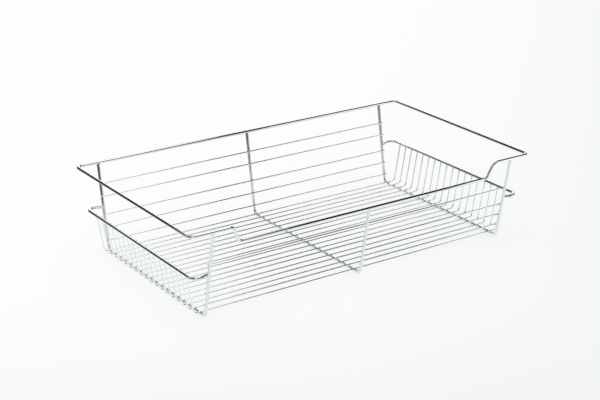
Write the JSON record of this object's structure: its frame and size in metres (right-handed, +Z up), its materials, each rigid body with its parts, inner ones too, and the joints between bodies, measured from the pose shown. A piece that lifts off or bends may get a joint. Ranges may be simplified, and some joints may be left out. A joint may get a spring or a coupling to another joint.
{
  "type": "pull-out wire basket",
  "caption": "Shallow wire basket for a closet: U-shaped frames, a rim that dips along the front, and a hooked runner wire outside each end that rides in a slide.",
  "frame": {"origin": "on the surface that the basket stands on, under the middle of its rim", "axes": "+X to the right along the long side, +Y to the back and along the slides, +Z up. The lowered front of the rim is at -Y"},
  "size_m": [0.736, 0.406, 0.167],
  "materials": {
    "heavy_wire": "bright polished chrome plate on steel wire",
    "thin_wire": "bright polished chrome plate on steel wire"
  },
  "bodies": {
    "root": {"top_rim": "heavy_wire", "left_runner": "heavy_wire", "right_runner": "heavy_wire", "left_frame": "heavy_wire", "centre_frame": "heavy_wire", "right_frame": "heavy_wire", "floor_wire_01": "thin_wire", "floor_wire_02": "thin_wire", "floor_wire_03": "thin_wire", "floor_wire_04": "thin_wire", "floor_wire_05": "thin_wire", "floor_wire_06": "thin_wire", "floor_wire_07": "thin_wire", "floor_wire_08": "thin_wire", "floor_wire_09": "thin_wire", "floor_wire_10": "thin_wire", "floor_wire_11": "thin_wire", "floor_wire_12": "thin_wire", "floor_wire_13": "thin_wire", "floor_wire_14": "thin_wire", "floor_wire_15": "thin_wire", "floor_wire_16": "thin_wire", "floor_wire_17": "thin_wire", "floor_wire_18": "thin_wire", "back_wire_1": "thin_wire", "back_wire_2": "thin_wire", "back_wire_3": "thin_wire", "back_wire_4": "thin_wire", "back_wire_5": "thin_wire", "front_wire_1": "thin_wire", "front_wire_2": "thin_wire", "front_wire_3": "thin_wire", "front_wire_4": "thin_wire"}
  },
  "joints": []
}
